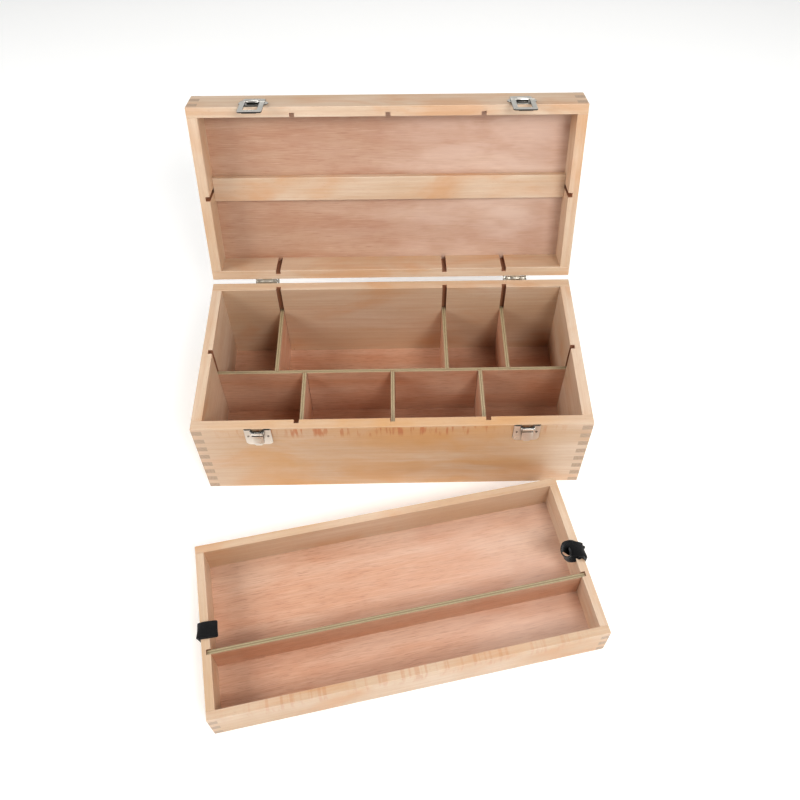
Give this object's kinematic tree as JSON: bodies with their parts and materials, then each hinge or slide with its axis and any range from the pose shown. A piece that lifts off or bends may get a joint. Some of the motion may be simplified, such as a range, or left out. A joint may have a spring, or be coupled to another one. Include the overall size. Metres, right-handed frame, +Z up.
{
  "type": "art supply box",
  "caption": "Finger-jointed wooden artist's box: hinged lid open, removable dividers, snap latches, and a lift-out tray with one long divider lying in front.",
  "frame": {"origin": "middle of the underside of the box body", "axes": "+Z up, +X to the right seen from the front, the front with the latches faces -Y"},
  "size_m": [0.45, 0.6097, 0.351],
  "materials": {
    "beech": "clear satin",
    "plywood": "clear satin",
    "nickel": "bright nickel plate",
    "hinge_steel": "nickel plate, slightly dull",
    "screw_steel": "plated",
    "webbing": "woven"
  },
  "bodies": {
    "body": {"back_wall": "beech", "bottom_panel": "plywood", "catch_screws": "screw_steel", "front_wall": "beech", "hinge_body_screws": "screw_steel", "left_catch_plate": "nickel", "left_hinge_body_leaf": "hinge_steel", "left_hinge_pin": "hinge_steel", "left_lever_pin": "nickel", "left_lever_spring": "nickel", "left_wall": "beech", "right_catch_plate": "nickel", "right_hinge_body_leaf": "hinge_steel", "right_hinge_pin": "hinge_steel", "right_lever_pin": "nickel", "right_lever_spring": "nickel", "right_wall": "beech"},
    "lid": {"lid_front_rail": "beech", "lid_back_rail": "beech", "lid_left_rail": "beech", "lid_right_rail": "beech", "lid_panel": "plywood", "lid_batten": "beech", "left_hinge_lid_leaf": "hinge_steel", "right_hinge_lid_leaf": "hinge_steel", "hinge_lid_screws": "screw_steel", "left_hasp_plate": "nickel", "right_hasp_plate": "nickel", "hasp_screws": "screw_steel"},
    "tray": {"tray_front_rail": "beech", "tray_back_rail": "beech", "tray_left_rail": "beech", "tray_right_rail": "beech", "tray_panel": "plywood", "left_strap": "webbing", "right_strap": "webbing", "strap_screws": "screw_steel"},
    "long_divider": {"long_divider": "plywood"},
    "tray_divider": {"tray_divider": "plywood"},
    "left_hasp": {"left_hasp": "nickel"},
    "right_hasp": {"right_hasp": "nickel"},
    "left_lever": {"left_lever": "nickel"},
    "right_lever": {"right_lever": "nickel"},
    "back_divider_left": {"back_divider_left": "plywood"},
    "back_divider_middle": {"back_divider_middle": "plywood"},
    "back_divider_right": {"back_divider_right": "plywood"},
    "front_divider_left": {"front_divider_left": "plywood"},
    "front_divider_middle": {"front_divider_middle": "plywood"},
    "front_divider_right": {"front_divider_right": "plywood"}
  },
  "joints": [
    {"name": "lid_hinge", "type": "hinge", "parent": "body", "child": "lid", "pos_m": [0, 0.113, 0.1264], "axis": [-1, 0, 0], "range_deg": [-106, 0]},
    {"name": "left_hasp_swing", "type": "hinge", "parent": "lid", "child": "left_hasp", "pos_m": [-0.1505, 0.18296, 0.34134], "axis": [-1, 0, 0], "range_deg": [0, 160]},
    {"name": "left_lever_lift", "type": "hinge", "parent": "body", "child": "left_lever", "pos_m": [-0.1505, -0.1129, 0.123], "axis": [-1, 0, 0], "range_deg": [0, 75], "stiffness_Nm_per_rad": 0.004},
    {"name": "right_hasp_swing", "type": "hinge", "parent": "lid", "child": "right_hasp", "pos_m": [0.1505, 0.18296, 0.34134], "axis": [-1, 0, 0], "range_deg": [0, 160]},
    {"name": "right_lever_lift", "type": "hinge", "parent": "body", "child": "right_lever", "pos_m": [0.1505, -0.1129, 0.123], "axis": [-1, 0, 0], "range_deg": [0, 75], "stiffness_Nm_per_rad": 0.004},
    {"name": "long_divider_lift", "type": "slide", "parent": "body", "child": "long_divider", "axis": [0, 0, 1], "range_m": [0, 0.13]},
    {"name": "back_left_divider_lift", "type": "slide", "parent": "body", "child": "back_divider_left", "axis": [0, 0, 1], "range_m": [0, 0.13]},
    {"name": "back_middle_divider_lift", "type": "slide", "parent": "body", "child": "back_divider_middle", "axis": [0, 0, 1], "range_m": [0, 0.13]},
    {"name": "back_right_divider_lift", "type": "slide", "parent": "body", "child": "back_divider_right", "axis": [0, 0, 1], "range_m": [0, 0.13]},
    {"name": "front_left_divider_lift", "type": "slide", "parent": "body", "child": "front_divider_left", "axis": [0, 0, 1], "range_m": [0, 0.13]},
    {"name": "front_middle_divider_lift", "type": "slide", "parent": "body", "child": "front_divider_middle", "axis": [0, 0, 1], "range_m": [0, 0.13]},
    {"name": "front_right_divider_lift", "type": "slide", "parent": "body", "child": "front_divider_right", "axis": [0, 0, 1], "range_m": [0, 0.13]},
    {"name": "tray_lift", "type": "slide", "parent": "body", "child": "tray", "axis": [0, 0, 1], "range_m": [0, 0.1]},
    {"name": "tray_divider_lift", "type": "slide", "parent": "tray", "child": "tray_divider", "axis": [0, 0, 1], "range_m": [0, 0.045]}
  ]
}
